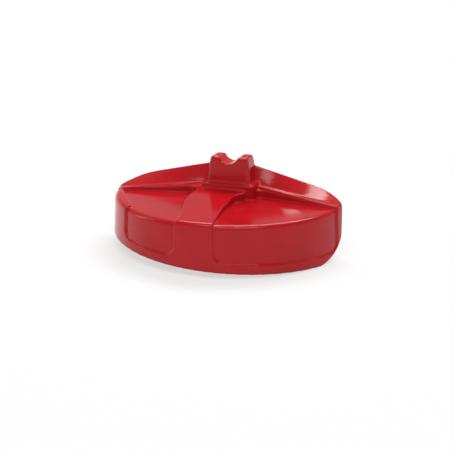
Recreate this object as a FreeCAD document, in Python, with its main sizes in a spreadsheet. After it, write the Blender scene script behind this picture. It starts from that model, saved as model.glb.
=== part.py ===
"""Trimmer blade guard: one moulded plastic shell with a tube saddle.

The frame's origin lies on the axis of the tube that the guard is clamped to, half way along the saddle.
+Y runs along the tube towards the blade, +X to the right of someone who holds the machine, +Z up.
All sizes are in millimetres and degrees.
"""

import FreeCAD
import Part
import Sketcher
import os

SIZES = {
    "tube_radius": 13.0,            # radius of the saddle that the tube lies in
    "saddle_length": 30.0,          # length of the saddle along the tube
    "lobe_drop": 3.4,               # clamp seats below the tube's axis
    "boss_top_width": 52.0,
    "boss_base_width": 68.0,
    "boss_round": 6.0,              # upright edges of the boss
    "boss_edge": 3.5,               # edges around the clamp seats
    "boss_wall": 4.5,               # walls of the hollow boss, and the floor under the saddle
    "bolt_spacing": 36.0,           # between the two clamp bolts, across the tube
    "bolt_hole": 5.5,               # diameter of each bolt hole
    "plinth_drop": 38.5,            # top of the step that the boss stands on, below the tube's axis
    "plinth_width": 74.0,
    "plinth_front": 7.0,            # how far the step reaches out in front of the boss
    "plinth_round": 8.0,            # upright edges of the step
    "band_drop": 45.5,              # rear end of the raised band, below the tube's axis
    "rim_drop": 58.0,               # floor of the sunk panels, below the tube's axis
    "axis_side": 3.0,               # blade's axis to the left of the tube's plane
    "skirt_radius": 160.0,          # outside of the skirt at the rim
    "skirt_flare": 4.0,             # extra radius at the foot of the skirt
    "skirt_depth": 56.0,            # rim to foot, on the plane of the tube
    "foot_slope": 3.2,              # the foot falls to the right by this angle
    "rim_round": 6.0,               # rounding between top and skirt
    "panel_recess": 2.5,            # how far the panels lie below the border
    "lip_height": 12.0,             # border left along the foot
    "panel_corner": 14.0,           # rounding of the panels' lower corners
    "panel_bend": 18.0,             # rounding of the panels' corners beside the band
    "panel_turn": 12.0,             # the panels' sides run straight in from the rim this far
    "right_panel_start": 9.5,       # angles about the blade's axis, from straight ahead
    "right_panel_end": 74.0,
    "left_panel_start": 8.0,
    "left_panel_end": 41.0,
    "band_right": 17.0,             # raised band, right and left of the tube's plane
    "band_left": 42.0,
    "rear_front_mid": 10.0,         # depth of the rear rim at the middle and at the ends
    "rear_front_end": 44.0,
    "slope_mid": 6.0,               # part of that depth that slopes, at the middle and at the ends
    "slope_end": 34.0,
    "ledge_mid": 20.0,              # ledge of the rear rim above the panels, at the middle and at the ends
    "ledge_end": 2.0,
    "ridge_drop": 10.5,             # rear edge behind the boss, below the tube's axis
    "eave_left": 10.0,              # rear edge above the panels, at the two ends
    "eave_right": 5.5,
    "rear_inset": 1.3,              # ends of the rear rim inside the skirt's rim
    "rear_corner": 44.0,            # plan rounding of the two rear corners
    "end_round": 80.0,              # side-view rounding of the skirt's two ends
    "end_centre": 79.0,             # centre of that rounding, in front of the saddle's middle
    "wall": 3.0,                    # wall of the shell
}

# Tools reach this far past the form they cut
REACH = 30.0
FAR = 300.0

doc = FreeCAD.newDocument("trimmer_blade_guard")
sheet = doc.addObject("Spreadsheet::Sheet", "Sizes")
for row, (alias, value) in enumerate(SIZES.items(), start=1):
    sheet.set(f"A{row}", alias)
    sheet.set(f"B{row}", str(value))
    sheet.setAlias(f"B{row}", alias)
doc.recompute()

# Expressions that several features share
REAR = "(<saddle_length> / 2)"
SIDE = "(-<axis_side>)"
FOOT = "(-<rim_drop> - <skirt_depth>)"
BORDER = "(-<rim_drop> + <panel_recess>)"
BAND_RADIUS = "(<saddle_length> + <plinth_front>)"
BAND_RISE = "(<rim_drop> - <panel_recess> - <band_drop>)"


def sized(text):
    """Turns each <name> of an expression into its cell of the sheet."""
    return text.replace("<", "Sizes.").replace(">", "")


def feature(kind, name, **bindings):
    """Adds a feature and binds its properties to the sheet."""
    made = doc.addObject(kind, name)
    for key, text in bindings.items():
        made.setExpression(key, sized(text))
    return made


def placed(made, x="0", y="0", z="0"):
    """Binds the place of a feature to the sheet."""
    for axis, text in zip("xyz", (x, y, z)):
        made.setExpression(f"Placement.Base.{axis}", sized(text))
    return made


def fuse(name, *shapes):
    """Joins features into one."""
    made = doc.addObject("Part::MultiFuse", name)
    made.Shapes = list(shapes)
    made.Refine = False
    return made


def common(name, *shapes):
    """Keeps what features share."""
    made = doc.addObject("Part::MultiCommon", name)
    made.Shapes = list(shapes)
    made.Refine = False
    return made


def cut(name, base, tool):
    """Takes one feature out of another."""
    made = doc.addObject("Part::Cut", name)
    made.Base = base
    made.Tool = tool
    made.Refine = False
    return made


def fillet(name, base, radius, wanted):
    """Rounds the edges of a feature that a test picks out."""
    doc.recompute()
    made = doc.addObject("Part::Fillet", name)
    made.Base = base
    edges = [n for n, edge in enumerate(base.Shape.Edges, start=1) if wanted(edge)]
    if not edges:
        raise RuntimeError(f"{name} finds no edge to round")
    made.Edges = [(n, radius, radius) for n in edges]
    return made


def polar(angle, radius):
    """A plan point at an angle about the blade's axis, counted from straight ahead."""
    return f"{SIDE} + ({radius}) * sin({angle})", f"{REAR} - ({radius}) * cos({angle})"


def value(text):
    """The number that an expression gives."""
    return float(sheet.evalExpression(sized(text)))


def outline(name, points, upright=False):
    """A closed sketch of straight lines, every corner dimensioned from the origin by the sheet."""
    sketch = doc.addObject("Sketcher::SketchObject", name)
    if upright:
        sketch.Placement.Rotation = FreeCAD.Rotation(FreeCAD.Vector(1, 1, 1), 120)
    corners = [FreeCAD.Vector(value(x), value(y), 0) for x, y in points]
    for corner, following in zip(corners, corners[1:] + corners[:1]):
        sketch.addGeometry(Part.LineSegment(corner, following))
    for n in range(len(corners)):
        sketch.addConstraint(Sketcher.Constraint("Coincident", n, 2, (n + 1) % len(corners), 1))
    for n, (point, corner) in enumerate(zip(points, corners)):
        for kind, text, start in zip(("DistanceX", "DistanceY"), point, corner):
            index = sketch.addConstraint(Sketcher.Constraint(kind, -1, 1, n, 1, start))
            sketch.setExpression(f"Constraints[{index}]", sized(text))
    return sketch


def prism(name, sketch, forward, back="0"):
    """Extrudes a sketch both ways along its normal."""
    made = feature("Part::Extrusion", name, LengthFwd=forward, LengthRev=back)
    made.Base = sketch
    made.DirMode = "Normal"
    made.Solid = True
    return made


def loft(name, *sections):
    """A straight-sided solid through sections."""
    made = doc.addObject("Part::Loft", name)
    made.Sections = list(sections)
    made.Solid = True
    made.Ruled = True
    return made


def ground(name, level):
    """A block whose top is parallel to the sloping foot."""
    made = feature("Part::Box", name, Length=f"2 * {FAR}", Width=f"2 * {FAR}", Height=f"{FAR}")
    made.Placement.Rotation = FreeCAD.Rotation(FreeCAD.Vector(0, 1, 0), 1)
    made.setExpression("Placement.Rotation.Angle", sized("<foot_slope>"))
    side = f"-{FAR} * cos(<foot_slope>) - {FAR} * sin(<foot_slope>)"
    down = f"{level} + {FAR} * sin(<foot_slope>) - {FAR} * cos(<foot_slope>)"
    return placed(made, side, f"-{FAR}", down)


def out_from_axis(point):
    """Distance of a point from the blade's axis."""
    return ((point.x - value(SIDE)) ** 2 + (point.y - value(REAR)) ** 2) ** 0.5


def rim_edge(edge):
    """Tells whether an edge is the full circle at the top of a drum's side."""
    level = edge.BoundBox.ZMax
    flat = edge.BoundBox.ZLength < 0.01
    wide = edge.BoundBox.XLength > 1.9 * (value("<skirt_radius>") - 10)
    return flat and wide and level > value("-<rim_drop>") - 10


def drum(name, inset, top):
    """The skirt's flared drum, filled, up to a level, with its rim still sharp."""
    foot_radius = f"<skirt_radius> - {inset} + <skirt_flare> * (<skirt_depth> + {REACH}) / <skirt_depth>"
    made = feature("Part::Cone", name, Radius1=foot_radius, Radius2=f"<skirt_radius> - {inset}",
                   Height=f"{top} - {FOOT} + {REACH}")
    return placed(made, x=SIDE, y=REAR, z=f"{FOOT} - {REACH}")


# Outer form of the border, the ends and the band, with its gently coned top
border_side = drum("border_side", "0", BORDER)
border_top = feature("Part::Cone", "border_top", Radius1="<skirt_radius>", Radius2=BAND_RADIUS, Height=BAND_RISE)
placed(border_top, x=SIDE, y=REAR, z=BORDER)
border = fillet("border", fuse("border_sharp", border_side, border_top), value("<rim_round>"), rim_edge)

# Level of the sunk panels, and the hollow a wall's thickness behind it
panel_sharp = drum("panel_sharp", "<panel_recess>", "-<rim_drop>")
panel = fillet("panel", panel_sharp, value("<rim_round>"), rim_edge)
hollow_sharp = drum("hollow_sharp", "(<panel_recess> + <wall>)", "(-<rim_drop> - <wall>)")
hollow = fillet("hollow", hollow_sharp, value("<rim_round> - <wall>"), rim_edge)

# Plan of the two panels, which run over the rim and down the skirt
OUT = f"<skirt_radius> + {REACH}"
WIDE = f"2 * <skirt_radius>"
right_plan = outline("right_plan", [
    polar("<right_panel_start>", OUT),
    polar("<right_panel_start>", "<skirt_radius> - <panel_turn>"),
    ("<band_right>", f"{REAR} - 0.62 * <skirt_radius>"),
    ("<band_right>", f"{REAR} - 0.36 * <skirt_radius>"),
    ("<plinth_width> / 2", f"{REAR} - <rear_front_mid> - 9"),
    (f"{SIDE} + 0.93 * <skirt_radius>", f"{REAR} - <rear_front_end> + 3"),
    polar("<right_panel_end>", OUT),
    polar("(<right_panel_start> + <right_panel_end>) / 2", WIDE),
])
left_plan = outline("left_plan", [
    polar("-<left_panel_start>", OUT),
    polar("-<left_panel_start>", "<skirt_radius> - <panel_turn>"),
    ("-<band_left>", f"{REAR} - 0.5 * <skirt_radius>"),
    ("-<band_left>", f"{REAR} - <rear_front_mid> - 12"),
    (f"{SIDE} - 0.93 * <skirt_radius>", f"{REAR} - <rear_front_end> + 3"),
    polar("-72", "<skirt_radius> - 9"),
    polar("-<left_panel_end>", "<skirt_radius> - 9"),
    polar("-<left_panel_end>", OUT),
    polar("-(<left_panel_start> + <left_panel_end>) / 2", "1.4 * <skirt_radius>"),
])
lip = ground("lip", f"({FOOT} + <lip_height>)")


def inner_upright(edge):
    """Tells whether an edge is an upright corner of a panel's plan inside the skirt."""
    upright = edge.BoundBox.ZLength > REACH
    return upright and out_from_axis(edge.CenterOfMass) < value("0.85 * <skirt_radius>")


def crosses_skirt(edge):
    """Tells whether an edge is a lower corner that runs out through the skirt."""
    reach = [out_from_axis(vertex.Point) for vertex in edge.Vertexes]
    low = edge.BoundBox.ZMax < value("-<rim_drop>") - 10
    return low and min(reach) < value("<skirt_radius>") < max(reach)


def window(side, start, end):
    """Plan of the part of a panel that runs down the skirt."""
    return outline(f"{side}_window", [
        polar(start, OUT),
        polar(start, "<skirt_radius> - <panel_turn>"),
        polar(end, "<skirt_radius> - <panel_turn>"),
        polar(end, OUT),
        polar(f"({start} + {end}) / 2", WIDE),
    ])


def pocket(side, plan, start, end):
    """The solid that sinks one panel below the border."""
    block = prism(f"{side}_block", plan, "0", "<rim_drop> + <rim_round>")
    rounded = fillet(f"{side}_rounded", block, value("<panel_bend>"), inner_upright)
    fall = prism(f"{side}_fall", window(side, start, end), "0", f"{FAR}")
    above_lip = cut(f"{side}_above_lip", fall, lip)
    cornered = fillet(f"{side}_cornered", above_lip, value("<panel_corner>"), crosses_skirt)
    return cut(f"{side}_pocket", fuse(f"{side}_panel", rounded, cornered), panel)


right_pocket = pocket("right", right_plan, "<right_panel_start>", "<right_panel_end>")
left_pocket = pocket("left", left_plan, "-<left_panel_start>", "-<left_panel_end>")
pockets = fuse("pockets", right_pocket, left_pocket)
sunk = cut("sunk", border, pockets)


def rear_section(name, place, front, slope, ledge, edge, inset):
    """One upright section of the rear rim: front wall, ledge, slope and rear edge."""
    low = "-<rim_drop> - 2 * <wall>"
    section = outline(name, [
        (f"{REAR} - {front} + {inset}", low),
        (f"{REAR} - {front} + {inset}", f"{ledge} - <rim_drop> - {inset}"),
        (f"{REAR} - {slope} + 0.5 * {inset}", f"{ledge} - <rim_drop> - {inset}"),
        (f"{REAR} + 0.5 * {inset}", f"{edge} - 1.2 * {inset}"),
        (f"{REAR} + {REACH}", f"{edge} - 1.2 * {inset}"),
        (f"{REAR} + {REACH}", low),
    ], upright=True)
    return placed(section, x=place)


def rear_half(name, end, eave, inset):
    """One half of the rear rim, from the middle to an end."""
    middle = rear_section(f"{name}_middle", "0", "<rear_front_mid>", "<slope_mid>", "<ledge_mid>",
                          "-<ridge_drop>", inset)
    outer = rear_section(f"{name}_outer", f"{SIDE} + {end} * (<skirt_radius> + <skirt_flare>)", "<rear_front_end>",
                         "<slope_end>", "<ledge_end>", f"{eave} - <rim_drop>", inset)
    return loft(name, middle, outer)


def rear_form(name, inset, radius):
    """Both halves of the rear rim, kept inside a circle about the blade's axis."""
    halves = fuse(f"{name}_halves", rear_half(f"{name}_right", "1", "<eave_right>", inset),
                  rear_half(f"{name}_left", "-1", "<eave_left>", inset))
    disc = feature("Part::Cylinder", f"{name}_disc", Radius=radius, Height=f"{FAR}")
    placed(disc, x=SIDE, y=REAR, z=f"-{FAR}")
    return common(name, halves, disc)


rear_rim = rear_form("rear_rim", "0", "<skirt_radius> - <rear_inset>")
rear_hollow = rear_form("rear_hollow", "<wall>", "<skirt_radius> - <panel_recess> - <rear_inset> - <wall>")


def boss_section(name, width, inset, level):
    """One level rectangle of the boss."""
    half = f"({width}) / 2 - {inset}"
    front = f"-{REAR} + {inset}"
    back = f"{REAR} - {inset}"
    section = outline(name, [
        (f"-({half})", front),
        (half, front),
        (half, back),
        (f"-({half})", back),
    ])
    return placed(section, z=level)


def upright(edge):
    """Tells whether an edge runs mostly up and down."""
    return edge.BoundBox.ZLength > 0.5 * edge.Length


def seat_edge(edge):
    """Tells whether an edge lies around the clamp seats, the rear one left out."""
    return edge.BoundBox.ZMin > value("-<lobe_drop>") - 0.01 and edge.CenterOfMass.y < value(REAR) - 0.01


# Boss with its step, and the hollow inside it
boss_sharp = loft("boss_sharp", boss_section("boss_base", "<boss_base_width>", "0", "-<rim_drop>"),
                  boss_section("boss_seat", "<boss_top_width>", "0", "-<lobe_drop>"))
boss_upright = fillet("boss_upright", boss_sharp, value("<boss_round>"),
                      lambda edge: upright(edge) and edge.CenterOfMass.y < 0)
boss = fillet("boss", boss_upright, value("<boss_edge>"), seat_edge)
plinth_sharp = feature("Part::Box", "plinth_sharp", Length="<plinth_width>",
                       Width="<saddle_length> + <plinth_front>", Height="<rim_drop> - <plinth_drop> + <wall> / 2")
placed(plinth_sharp, "-<plinth_width> / 2", f"-{REAR} - <plinth_front>", "-<rim_drop> - <wall> / 2")
plinth = fillet("plinth", plinth_sharp, value("<plinth_round>"),
                lambda edge: upright(edge) and edge.CenterOfMass.y < 0)
boss_hollow = loft(
    "boss_hollow",
    boss_section("boss_hollow_base", "<boss_base_width>", "<boss_wall>", "-<rim_drop> - <wall> - 2"),
    boss_section("boss_hollow_roof", "<boss_top_width> + 4", "<boss_wall>", "-<tube_radius> - <boss_wall>"))

# Hollow under the raised band
band_plan = outline("band_plan", [
    polar("<right_panel_start> - 1.2", "<skirt_radius> - 16"),
    ("<band_right> - <wall>", f"{REAR} - 0.62 * <skirt_radius>"),
    ("<band_right> - <wall>", f"{REAR} - <saddle_length> - <plinth_front> - <wall>"),
    ("-<band_left> + <wall>", f"{REAR} - <saddle_length> - <plinth_front> - <wall>"),
    ("-<band_left> + <wall>", f"{REAR} - 0.49 * <skirt_radius>"),
    polar("-<left_panel_start> + 1.2", "<skirt_radius> - 16"),
])
band_block = prism("band_block", band_plan, "0", "<rim_drop> + <wall> + 2")
band_roof = feature("Part::Cone", "band_roof", Radius1=f"2 * <skirt_radius> - {BAND_RADIUS}",
                    Radius2=BAND_RADIUS, Height=f"2 * {BAND_RISE}")
placed(band_roof, x=SIDE, y=REAR, z=f"{BORDER} - <wall> - {BAND_RISE}")
band_hollow = common("band_hollow", band_block, band_roof)

# Shell between the outer form and the hollow
solid = fuse("solid", sunk, rear_rim, boss, plinth)
under_top = cut("under_top", solid, hollow)
under_rear = cut("under_rear", under_top, rear_hollow)
under_boss = cut("under_boss", under_rear, boss_hollow)
shell = cut("shell", under_boss, band_hollow)

# Rear edge with its two rounded plan corners
plan_disc = feature("Part::Cylinder", "plan_disc", Radius="<skirt_radius> + 2 * <skirt_flare>", Height=f"{FAR}")
placed(plan_disc, x=SIDE, y=REAR, z=f"-{FAR} + {REACH}")
plan_half = feature("Part::Box", "plan_half", Length=f"2 * {FAR}", Width=f"{FAR}", Height=f"2 * {FAR}")
placed(plan_half, f"-{FAR}", f"{REAR} - {FAR}", f"-{FAR}")
plan = fillet("plan", common("plan_sharp", plan_disc, plan_half), value("<rear_corner>"), upright)
trimmed = common("trimmed", shell, plan)

# Foot, rounded ends, saddle and bolt holes
end_block = feature("Part::Box", "end_block", Length=f"2 * {FAR}", Width=f"{FAR}", Height=f"{FAR}")
placed(end_block, f"-{FAR}", "-<end_centre>", f"-<rim_drop> - <wall> - {FAR}")
end_wheel = feature("Part::Cylinder", "end_wheel", Radius="<end_round>", Height=f"2 * {FAR}")
end_wheel.Placement.Rotation = FreeCAD.Rotation(FreeCAD.Vector(0, 1, 0), 90)
placed(end_wheel, f"-{FAR}", "-<end_centre>",
       f"{FOOT} - <skirt_radius> * sin(<foot_slope>) + <end_round>")
end_tool = cut("end_tool", end_block, end_wheel)
tube = feature("Part::Cylinder", "tube", Radius="<tube_radius>", Height=f"2 * {REACH}")
tube.Placement.Rotation = FreeCAD.Rotation(FreeCAD.Vector(1, 0, 0), -90)
placed(tube, y=f"-{REACH}")
holes = []
for side, sign in (("left", "-"), ("right", "")):
    hole = feature("Part::Cylinder", f"{side}_hole", Radius="<bolt_hole> / 2",
                   Height="<tube_radius> + <boss_wall> + 4")
    holes.append(placed(hole, f"{sign}<bolt_spacing> / 2", z="-<tube_radius> - <boss_wall> - 2"))
tools = fuse("tools", ground("foot", FOOT), end_tool, tube, *holes)
guard = cut("blade_guard", trimmed, tools)
guard.Label = "blade_guard"
doc.recompute()

for item in doc.Objects:
    if "Invalid" in item.State or "Error" in item.State:
        raise RuntimeError(f"{item.Name} is not valid")
    if hasattr(item, "Shape") and (item.Shape.isNull() or not item.Shape.isValid()):
        raise RuntimeError(f"{item.Name} has no valid shape")
if len(guard.Shape.Solids) != 1:
    raise RuntimeError(f"the guard is in {len(guard.Shape.Solids)} pieces")

os.makedirs("parts", exist_ok=True)
moulding = guard.Shape.Solids[0]
moulding.exportStep("parts/blade_guard.step")
print(moulding.BoundBox, round(moulding.Volume), moulding.CenterOfMass)
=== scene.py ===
"""Dresses the trimmer blade guard and sets it in a plain studio at the photograph's angle."""

import logging
import math
from dataclasses import dataclass, field
from enum import Enum
from typing import Any

import bpy
from mathutils import Matrix, Vector


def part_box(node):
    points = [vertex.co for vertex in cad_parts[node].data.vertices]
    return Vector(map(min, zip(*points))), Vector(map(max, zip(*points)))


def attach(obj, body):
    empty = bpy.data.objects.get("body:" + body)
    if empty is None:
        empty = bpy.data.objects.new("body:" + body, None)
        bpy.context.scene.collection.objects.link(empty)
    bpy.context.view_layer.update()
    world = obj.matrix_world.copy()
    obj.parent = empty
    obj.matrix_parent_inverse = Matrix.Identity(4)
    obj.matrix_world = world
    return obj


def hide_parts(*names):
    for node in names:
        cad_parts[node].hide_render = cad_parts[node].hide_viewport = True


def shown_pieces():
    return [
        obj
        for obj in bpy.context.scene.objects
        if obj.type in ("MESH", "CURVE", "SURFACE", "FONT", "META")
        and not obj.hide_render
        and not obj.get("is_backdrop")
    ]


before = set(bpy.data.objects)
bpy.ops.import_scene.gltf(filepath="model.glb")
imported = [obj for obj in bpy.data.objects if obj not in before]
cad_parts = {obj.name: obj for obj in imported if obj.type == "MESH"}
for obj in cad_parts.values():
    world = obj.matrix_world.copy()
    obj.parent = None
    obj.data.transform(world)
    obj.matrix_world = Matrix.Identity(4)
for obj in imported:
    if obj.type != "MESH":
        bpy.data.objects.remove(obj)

LOG = logging.getLogger("guard")
MM = 0.001
IMAGE_SIZE = 452
SENSOR_WIDTH = 36.0
WHITE = (1.0, 1.0, 1.0, 1.0)

Point = tuple[float, float, float]
Span = tuple[float, float]


class Node(str, Enum):
    """CAD nodes that the scene dresses."""

    GUARD = "blade_guard"


class Slot(str, Enum):
    """Material slots of the record."""

    RED = "red_plastic"


class Body(str, Enum):
    """Bodies that pieces ride on."""

    ROOT = "root"


def linear(code: str) -> tuple[float, float, float, float]:
    """Turns a written colour into the linear values that sockets take.

    Args:
        code: Six hexadecimal digits, as in "A81E26".

    Returns:
        Red, green, blue and alpha, linear.
    """
    parts = [int(code[n:n + 2], 16) / 255 for n in (0, 2, 4)]
    red, green, blue = (p / 12.92 if p <= 0.04045 else ((p + 0.055) / 1.055) ** 2.4 for p in parts)
    return red, green, blue, 1.0


def triangles(piece: bpy.types.Object) -> int:
    """Counts the triangles that a piece's faces make.

    Args:
        piece: A mesh object.

    Returns:
        The number of triangles.
    """
    return sum(len(face.vertices) - 2 for face in piece.data.polygons)


def noise(nodes: Any, pattern: Span) -> bpy.types.Node:
    """Adds a noise texture.

    Args:
        nodes: Node collection of a material.
        pattern: Scale and octaves of the noise.

    Returns:
        The noise node.
    """
    texture = nodes.new("ShaderNodeTexNoise")
    texture.inputs["Scale"].default_value, texture.inputs["Detail"].default_value = pattern
    return texture


def remap(nodes: Any, source: Span, target: Span, smooth: bool = False) -> bpy.types.Node:
    """Adds a node that carries one range of values over to another.

    Args:
        nodes: Node collection of a material or world.
        source: First and last value that come in.
        target: First and last value that go out.
        smooth: Whether the change starts and ends gently.

    Returns:
        The node, with the sockets Value and Result.
    """
    node = nodes.new("ShaderNodeMapRange")
    if smooth:
        node.interpolation_type = "SMOOTHSTEP"
    for name, value in zip(("From Min", "From Max", "To Min", "To Max"), source + target):
        node.inputs[name].default_value = value
    return node


def combine(
    nodes: Any,
    links: Any,
    operation: str,
    first: bpy.types.NodeSocket,
    second: bpy.types.NodeSocket,
) -> bpy.types.NodeSocket:
    """Works out one value from two others.

    Args:
        nodes: Node collection of a material or world.
        links: Link collection of the same tree.
        operation: How they are combined, such as MULTIPLY.
        first: Socket of the first value.
        second: Socket of the second value.

    Returns:
        The socket of the outcome.
    """
    step = nodes.new("ShaderNodeMath")
    step.operation = operation
    links.new(first, step.inputs[0])
    links.new(second, step.inputs[1])
    return step.outputs["Value"]


def seen_rays(nodes: Any, links: Any) -> bpy.types.NodeSocket:
    """Adds the test for rays that show the background: camera, glossy and transmission rays.

    Args:
        nodes: Node collection of a material or world.
        links: Link collection of the same tree.

    Returns:
        The socket that is 1 for such a ray and 0 for the others.
    """
    path = nodes.new("ShaderNodeLightPath")
    total = path.outputs["Is Camera Ray"]
    for name in ("Is Glossy Ray", "Is Transmission Ray"):
        total = combine(nodes, links, "MAXIMUM", total, path.outputs[name])
    return total


@dataclass(frozen=True)
class MouldedPlastic:
    """Glossy dyed plastic from a polished mould, with flow streaks and handling haze.

    Attributes:
        name: Name of the material.
        light: Colour of the lighter streaks.
        dark: Colour of the darker streaks.
        roughness: Lowest roughness.
        haze: Roughness that the haze adds at most.
        ripple: Strength of the surface's fine ripple.
        sheen: Level of the mirror-like reflection.
        edge: Radius in millimetres by which the shading rounds edges.
        edge_samples: Samples of that rounding.
        streak_noise: Scale and octaves of the flow streaks.
        haze_noise: Scale and octaves of the haze.
        ripple_noise: Scale and octaves of the ripple.
        ripple_depth: Depth of the ripple in millimetres.
        streak_span: Noise values between which the streaks change colour.
    """

    name: str
    light: str
    dark: str
    roughness: float
    haze: float
    ripple: float
    sheen: float
    edge: float
    edge_samples: int = 8
    streak_noise: Span = (22.0, 5.0)
    haze_noise: Span = (260.0, 3.0)
    ripple_noise: Span = (900.0, 2.0)
    ripple_depth: float = 0.05
    streak_span: Span = (0.3, 0.7)

    def build(self) -> bpy.types.Material:
        """Makes the material.

        Returns:
            The new material.
        """
        material = bpy.data.materials.new(self.name)
        material.use_nodes = True
        nodes, links = material.node_tree.nodes, material.node_tree.links
        shader = nodes["Principled BSDF"]
        shader.inputs["Specular IOR Level"].default_value = self.sheen
        coords = nodes.new("ShaderNodeTexCoord")
        streaks = noise(nodes, self.streak_noise)
        grain = noise(nodes, self.haze_noise)
        peel = noise(nodes, self.ripple_noise)
        for texture in (streaks, grain, peel):
            links.new(coords.outputs["Object"], texture.inputs["Vector"])

        tint = nodes.new("ShaderNodeValToRGB")
        for stop, place, code in zip(tint.color_ramp.elements, self.streak_span, (self.dark, self.light)):
            stop.position = place
            stop.color = linear(code)
        links.new(streaks.outputs["Fac"], tint.inputs["Fac"])
        links.new(tint.outputs["Color"], shader.inputs["Base Color"])

        haze = remap(nodes, (0.0, 1.0), (self.roughness, self.roughness + self.haze))
        links.new(grain.outputs["Fac"], haze.inputs["Value"])
        links.new(haze.outputs["Result"], shader.inputs["Roughness"])

        bump = nodes.new("ShaderNodeBump")
        bump.inputs["Strength"].default_value = self.ripple
        bump.inputs["Distance"].default_value = self.ripple_depth * MM
        links.new(peel.outputs["Fac"], bump.inputs["Height"])
        edges = nodes.new("ShaderNodeBevel")
        edges.samples = self.edge_samples
        edges.inputs["Radius"].default_value = self.edge * MM
        links.new(edges.outputs["Normal"], bump.inputs["Normal"])
        links.new(bump.outputs["Normal"], shader.inputs["Normal"])
        return material


@dataclass(frozen=True)
class StudioSweep:
    """Pale floor that shows white to the camera and keeps a soft shadow beside the object.

    Attributes:
        name: Name of the material.
        shade: Grey level of the floor's paint.
        near: Distance in metres up to which the shadow keeps its full strength.
        far: Distance in metres from which the floor is plain white.
        veil: Share of white over the shadow close to the object.
        roughness: Roughness of the paint.
    """

    name: str
    shade: float
    near: float
    far: float
    veil: float
    roughness: float = 0.95

    def build(self) -> bpy.types.Material:
        """Makes the material.

        Returns:
            The new material.
        """
        material = bpy.data.materials.new(self.name)
        material.use_nodes = True
        nodes, links = material.node_tree.nodes, material.node_tree.links
        paint = nodes["Principled BSDF"]
        paint.inputs["Base Color"].default_value = (self.shade, self.shade, self.shade, 1.0)
        paint.inputs["Roughness"].default_value = self.roughness
        paint.inputs["Specular IOR Level"].default_value = 0.0
        white = nodes.new("ShaderNodeEmission")
        white.inputs["Color"].default_value = WHITE
        white.inputs["Strength"].default_value = 1.0

        coords = nodes.new("ShaderNodeTexCoord")
        reach = nodes.new("ShaderNodeVectorMath")
        reach.operation = "LENGTH"
        links.new(coords.outputs["Object"], reach.inputs[0])
        fade = remap(nodes, (self.near, self.far), (self.veil, 1.0), smooth=True)
        links.new(reach.outputs["Value"], fade.inputs["Value"])
        share = combine(nodes, links, "MULTIPLY", fade.outputs["Result"], seen_rays(nodes, links))

        mix = nodes.new("ShaderNodeMixShader")
        links.new(share, mix.inputs["Fac"])
        links.new(paint.outputs["BSDF"], mix.inputs[1])
        links.new(white.outputs["Emission"], mix.inputs[2])
        links.new(mix.outputs["Shader"], nodes["Material Output"].inputs["Surface"])
        return material


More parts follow.
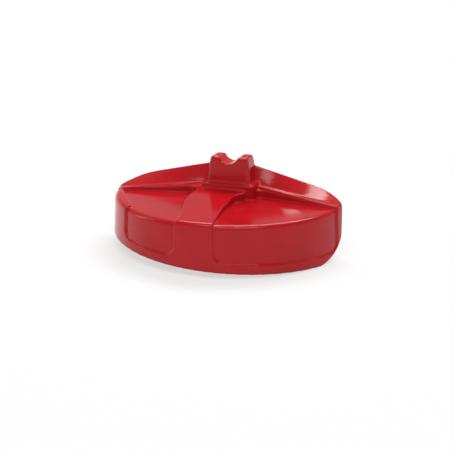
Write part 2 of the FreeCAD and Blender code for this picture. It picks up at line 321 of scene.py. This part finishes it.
@dataclass
class Moulding:
    """The guard itself, one moulding, with the soft edges that a mould leaves.

    Sizes are in millimetres.

    Attributes:
        node: CAD node that the moulding stands for.
        slot: Material slot of the record; not used.
        finish: Finish of the whole surface.
        merge: Distance within which split corners are joined.
        grain: Width of the skin's cells.
        ease: Share of the way to its neighbours that a smoothing pass moves a point.
        passes: Smoothing passes over the whole skin.
        most_triangles: Triangles that the thinned skin may have.
        lobe_depth: Depth below the tube's axis down to which the lobes are rounded.
        lobe_passes: Smoothing passes over the lobes.
        bolt_spacing: Distance between the two bolt holes.
        hole_rim: Radius round a bolt hole's axis that stays as it is.
        end_cut: Place along the tube where the skirt's rear edges are cut square.
        end_top: Height from which they are cut, downwards.
        end_block: Width, depth and height of the block that cuts them.
        piece: The finished object.
    """

    node: Node
    slot: Slot
    finish: MouldedPlastic
    merge: float = 0.02
    grain: float = 0.75
    ease: float = 0.5
    passes: int = 13
    most_triangles: int = 190_000
    lobe_depth: float = 11.0
    lobe_passes: int = 30
    bolt_spacing: float = 36.0
    hole_rim: float = 3.2
    end_cut: float = -10.5
    end_top: float = -57.0
    end_block: Point = (40.0, 30.0, 80.0)
    piece: bpy.types.Object | None = field(default=None, init=False)

    def build(self) -> bpy.types.Object:
        """Makes a soft-edged copy of the guard's node that stands in for it.

        Returns:
            The guard's object.
        """
        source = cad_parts[self.node.value]
        bpy.ops.object.select_all(action="DESELECT")
        source.select_set(True)
        bpy.context.view_layer.objects.active = source
        bpy.ops.object.duplicate()
        self.piece = bpy.context.object
        self.piece.name = f"{self.node.value}_moulding"
        self._close_corners()
        self._square_ends()
        self._lay_skin()
        self._round_lobes()
        self._thin_skin()
        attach(self.piece, Body.ROOT.value)
        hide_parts(self.node.value)
        return self.piece

    def dress(self) -> None:
        """Gives the guard its finish."""
        self.piece.data.materials.clear()
        self.piece.data.materials.append(self.finish.build())

    def _close_corners(self) -> None:
        """Joins the copy's split corners into one closed skin."""
        bpy.ops.object.mode_set(mode="EDIT")
        bpy.ops.mesh.select_all(action="SELECT")
        bpy.ops.mesh.remove_doubles(threshold=self.merge * MM)
        bpy.ops.object.mode_set(mode="OBJECT")

    def _square_ends(self) -> None:
        """Cuts the skirt's thin rear edges square at both ends."""
        low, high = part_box(self.node.value)
        span = Vector(self.end_block) * MM
        for end in (low[0], high[0]):
            bpy.ops.object.select_all(action="DESELECT")
            place = (end, self.end_cut * MM + span.y / 2, self.end_top * MM - span.z / 2)
            bpy.ops.mesh.primitive_cube_add(size=1.0, location=place, scale=span)
            block = bpy.context.object
            cut = self.piece.modifiers.new("trim", "BOOLEAN")
            cut.operation = "DIFFERENCE"
            cut.object = block
            bpy.context.view_layer.objects.active = self.piece
            bpy.ops.object.modifier_apply(modifier=cut.name)
            bpy.data.objects.remove(block)
        self.piece.select_set(True)

    def _lay_skin(self) -> None:
        """Lays a fine, even skin over the form and eases its edges."""
        skin = self.piece.modifiers.new("skin", "REMESH")
        skin.mode = "VOXEL"
        skin.voxel_size = self.grain * MM
        smooth = self.piece.modifiers.new("ease", "SMOOTH")
        smooth.factor = self.ease
        smooth.iterations = self.passes
        for modifier in (skin.name, smooth.name):
            bpy.ops.object.modifier_apply(modifier=modifier)

    def _round_lobes(self) -> None:
        """Rounds the saddle's two lobes, leaving the rims of their bolt holes as they are."""
        bpy.ops.object.mode_set(mode="EDIT")
        bpy.ops.mesh.select_mode(type="VERT")
        bpy.ops.mesh.select_all(action="DESELECT")
        bpy.ops.object.mode_set(mode="OBJECT")
        for vertex in self.piece.data.vertices:
            x, y, z = (value / MM for value in vertex.co)
            off_hole = math.hypot(abs(x) - self.bolt_spacing / 2, y)
            vertex.select = z > -self.lobe_depth and off_hole > self.hole_rim
        bpy.ops.object.mode_set(mode="EDIT")
        bpy.ops.mesh.vertices_smooth(factor=self.ease, repeat=self.lobe_passes)
        bpy.ops.object.mode_set(mode="OBJECT")

    def _thin_skin(self) -> None:
        """Takes out the triangles that flat stretches don't need, and shades the rest smooth."""
        thin = self.piece.modifiers.new("thin", "DECIMATE")
        thin.ratio = min(1.0, self.most_triangles / triangles(self.piece))
        bpy.ops.object.modifier_apply(modifier=thin.name)
        bpy.ops.object.shade_smooth()


@dataclass(frozen=True)
class Lamp:
    """One soft lamp of the studio.

    Attributes:
        name: Name of the lamp.
        place: Where it hangs, in metres.
        aim: Point that it faces, in metres.
        size: Width and height, in metres.
        watts: Its power.
    """

    name: str
    place: Point
    aim: Point
    size: Span
    watts: float

    def build(self) -> bpy.types.Object:
        """Hangs the lamp.

        Returns:
            The lamp's object.
        """
        bpy.ops.object.light_add(type="AREA", location=self.place)
        lamp = bpy.context.object
        lamp.name = self.name
        lamp.data.shape = "RECTANGLE"
        lamp.data.size, lamp.data.size_y = self.size
        lamp.data.energy = self.watts
        toward = Vector(self.aim) - Vector(self.place)
        lamp.rotation_euler = toward.to_track_quat("-Z", "Y").to_euler()
        return lamp


@dataclass
class Studio:
    """Floor, world and lamps.

    Attributes:
        floor_level: Height of the floor, in metres.
        sweep: Finish of the floor.
        lamps: The lamps.
        sky: Strength of the even light from all round.
        wall_rise: Degrees above the horizon where the white wall starts and ends its fade.
        floor_size: Width of the floor, in metres.
    """

    floor_level: float
    sweep: StudioSweep
    lamps: tuple[Lamp, ...]
    sky: float
    wall_rise: Span
    floor_size: float = 80.0

    def build(self) -> None:
        """Lays the floor and hangs the lamps."""
        bpy.ops.mesh.primitive_plane_add(size=self.floor_size, location=(0.0, 0.0, self.floor_level))
        floor = bpy.context.object
        floor.name = "floor"
        floor.data.materials.append(self.sweep.build())
        floor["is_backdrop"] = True
        for lamp in self.lamps:
            lamp.build()

    def dress(self) -> None:
        """Gives the room its even, soft light, with a white wall where it is seen behind the floor."""
        world = bpy.data.worlds.new("studio_world")
        bpy.context.scene.world = world
        world.use_nodes = True
        nodes, links = world.node_tree.nodes, world.node_tree.links
        background = nodes["Background"]
        background.inputs["Color"].default_value = WHITE
        coords = nodes.new("ShaderNodeTexCoord")
        heading = nodes.new("ShaderNodeSeparateXYZ")
        links.new(coords.outputs["Generated"], heading.inputs["Vector"])
        start, end = (math.sin(math.radians(rise)) for rise in self.wall_rise)
        wall = remap(nodes, (start, end), (1.0, 0.0), smooth=True)
        links.new(heading.outputs["Z"], wall.inputs["Value"])
        share = combine(nodes, links, "MULTIPLY", wall.outputs["Result"], seen_rays(nodes, links))
        level = remap(nodes, (0.0, 1.0), (self.sky, 1.0))
        links.new(share, level.inputs["Value"])
        links.new(level.outputs["Result"], background.inputs["Strength"])


@dataclass(frozen=True)
class PhotoCamera:
    """Camera at the photograph's angle.

    Attributes:
        target: Point that shows at centre_px, in metres.
        distance: Distance from that point, in metres.
        yaw: Degrees by which the camera stands to the right of the front.
        elevation: Degrees by which it looks down.
        focal_px: Focal length in pixels of the photograph.
        centre_px: Pixel that the camera's axis passes through.
        nearest: Distance in metres from which things are seen.
    """

    target: Point
    distance: float
    yaw: float
    elevation: float
    focal_px: float
    centre_px: Span
    nearest: float = 0.01

    def build(self) -> bpy.types.Object:
        """Sets up the scene's camera.

        Returns:
            The camera's object.
        """
        yaw, rise = math.radians(self.yaw), math.radians(self.elevation)
        back = Vector((math.sin(yaw) * math.cos(rise), -math.cos(yaw) * math.cos(rise), math.sin(rise)))
        right = Vector((math.cos(yaw), math.sin(yaw), 0.0))
        up = back.cross(right)
        place = Vector(self.target) + back * self.distance
        bpy.ops.object.camera_add(location=place)
        camera = bpy.context.object
        camera.matrix_world = Matrix.Translation(place) @ Matrix((right, up, back)).transposed().to_4x4()
        camera.data.sensor_width = SENSOR_WIDTH
        camera.data.lens = self.focal_px / IMAGE_SIZE * SENSOR_WIDTH
        middle = IMAGE_SIZE / 2
        camera.data.shift_x = (middle - self.centre_px[0]) / IMAGE_SIZE
        camera.data.shift_y = (self.centre_px[1] - middle) / IMAGE_SIZE
        camera.data.clip_start = self.nearest
        bpy.context.scene.camera = camera
        return camera


def build_guard() -> None:
    """Makes the guard and gives it its red finish."""
    red = MouldedPlastic(
        name="red_plastic",
        light="BE1420",
        dark="B20F1A",
        roughness=0.1,
        haze=0.1,
        ripple=0.12,
        sheen=0.26,
        edge=1.6,
    )
    guard = Moulding(Node.GUARD, Slot.RED, red)
    guard.build()
    guard.dress()


def build_studio() -> None:
    """Makes the floor just under the guard, the lamps and the world."""
    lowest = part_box(Node.GUARD.value)[0][2]
    floor_gap = 0.5 * MM
    middle = (0.0, -0.05, -0.06)
    studio = Studio(
        floor_level=lowest - floor_gap,
        sweep=StudioSweep(name="studio_floor", shade=0.85, near=0.2, far=0.75, veil=0.6),
        lamps=(
            Lamp("back_top", place=(0.0, 0.95, 1.5), aim=middle, size=(1.6, 0.6), watts=27.0),
            Lamp("key", place=(0.2, -0.85, 1.3), aim=middle, size=(1.4, 0.4), watts=9.5),
            Lamp("left_bank", place=(-1.4, -0.3, 0.5), aim=middle, size=(0.3, 1.0), watts=2.5),
        ),
        sky=0.36,
        wall_rise=(8.0, 14.0),
    )
    studio.build()
    studio.dress()


def build_camera() -> None:
    """Sets the camera where the photograph was taken from."""
    camera = PhotoCamera(
        target=(-3.0 * MM, 15.0 * MM, -113.0 * MM),
        distance=1.081,
        yaw=18.3,
        elevation=18.0,
        focal_px=774.0,
        centre_px=(232.9, 229.6),
    )
    camera.build()


def main() -> None:
    """Builds the scene and reports the triangle count of each shown piece."""
    logging.basicConfig(level=logging.INFO, format="%(message)s")
    bpy.context.scene.view_settings.view_transform = "Standard"
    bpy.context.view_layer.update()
    build_guard()
    build_studio()
    build_camera()
    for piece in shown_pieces():
        LOG.info("%s: %d triangles", piece.name, triangles(piece))


if __name__ == "__main__":
    main()
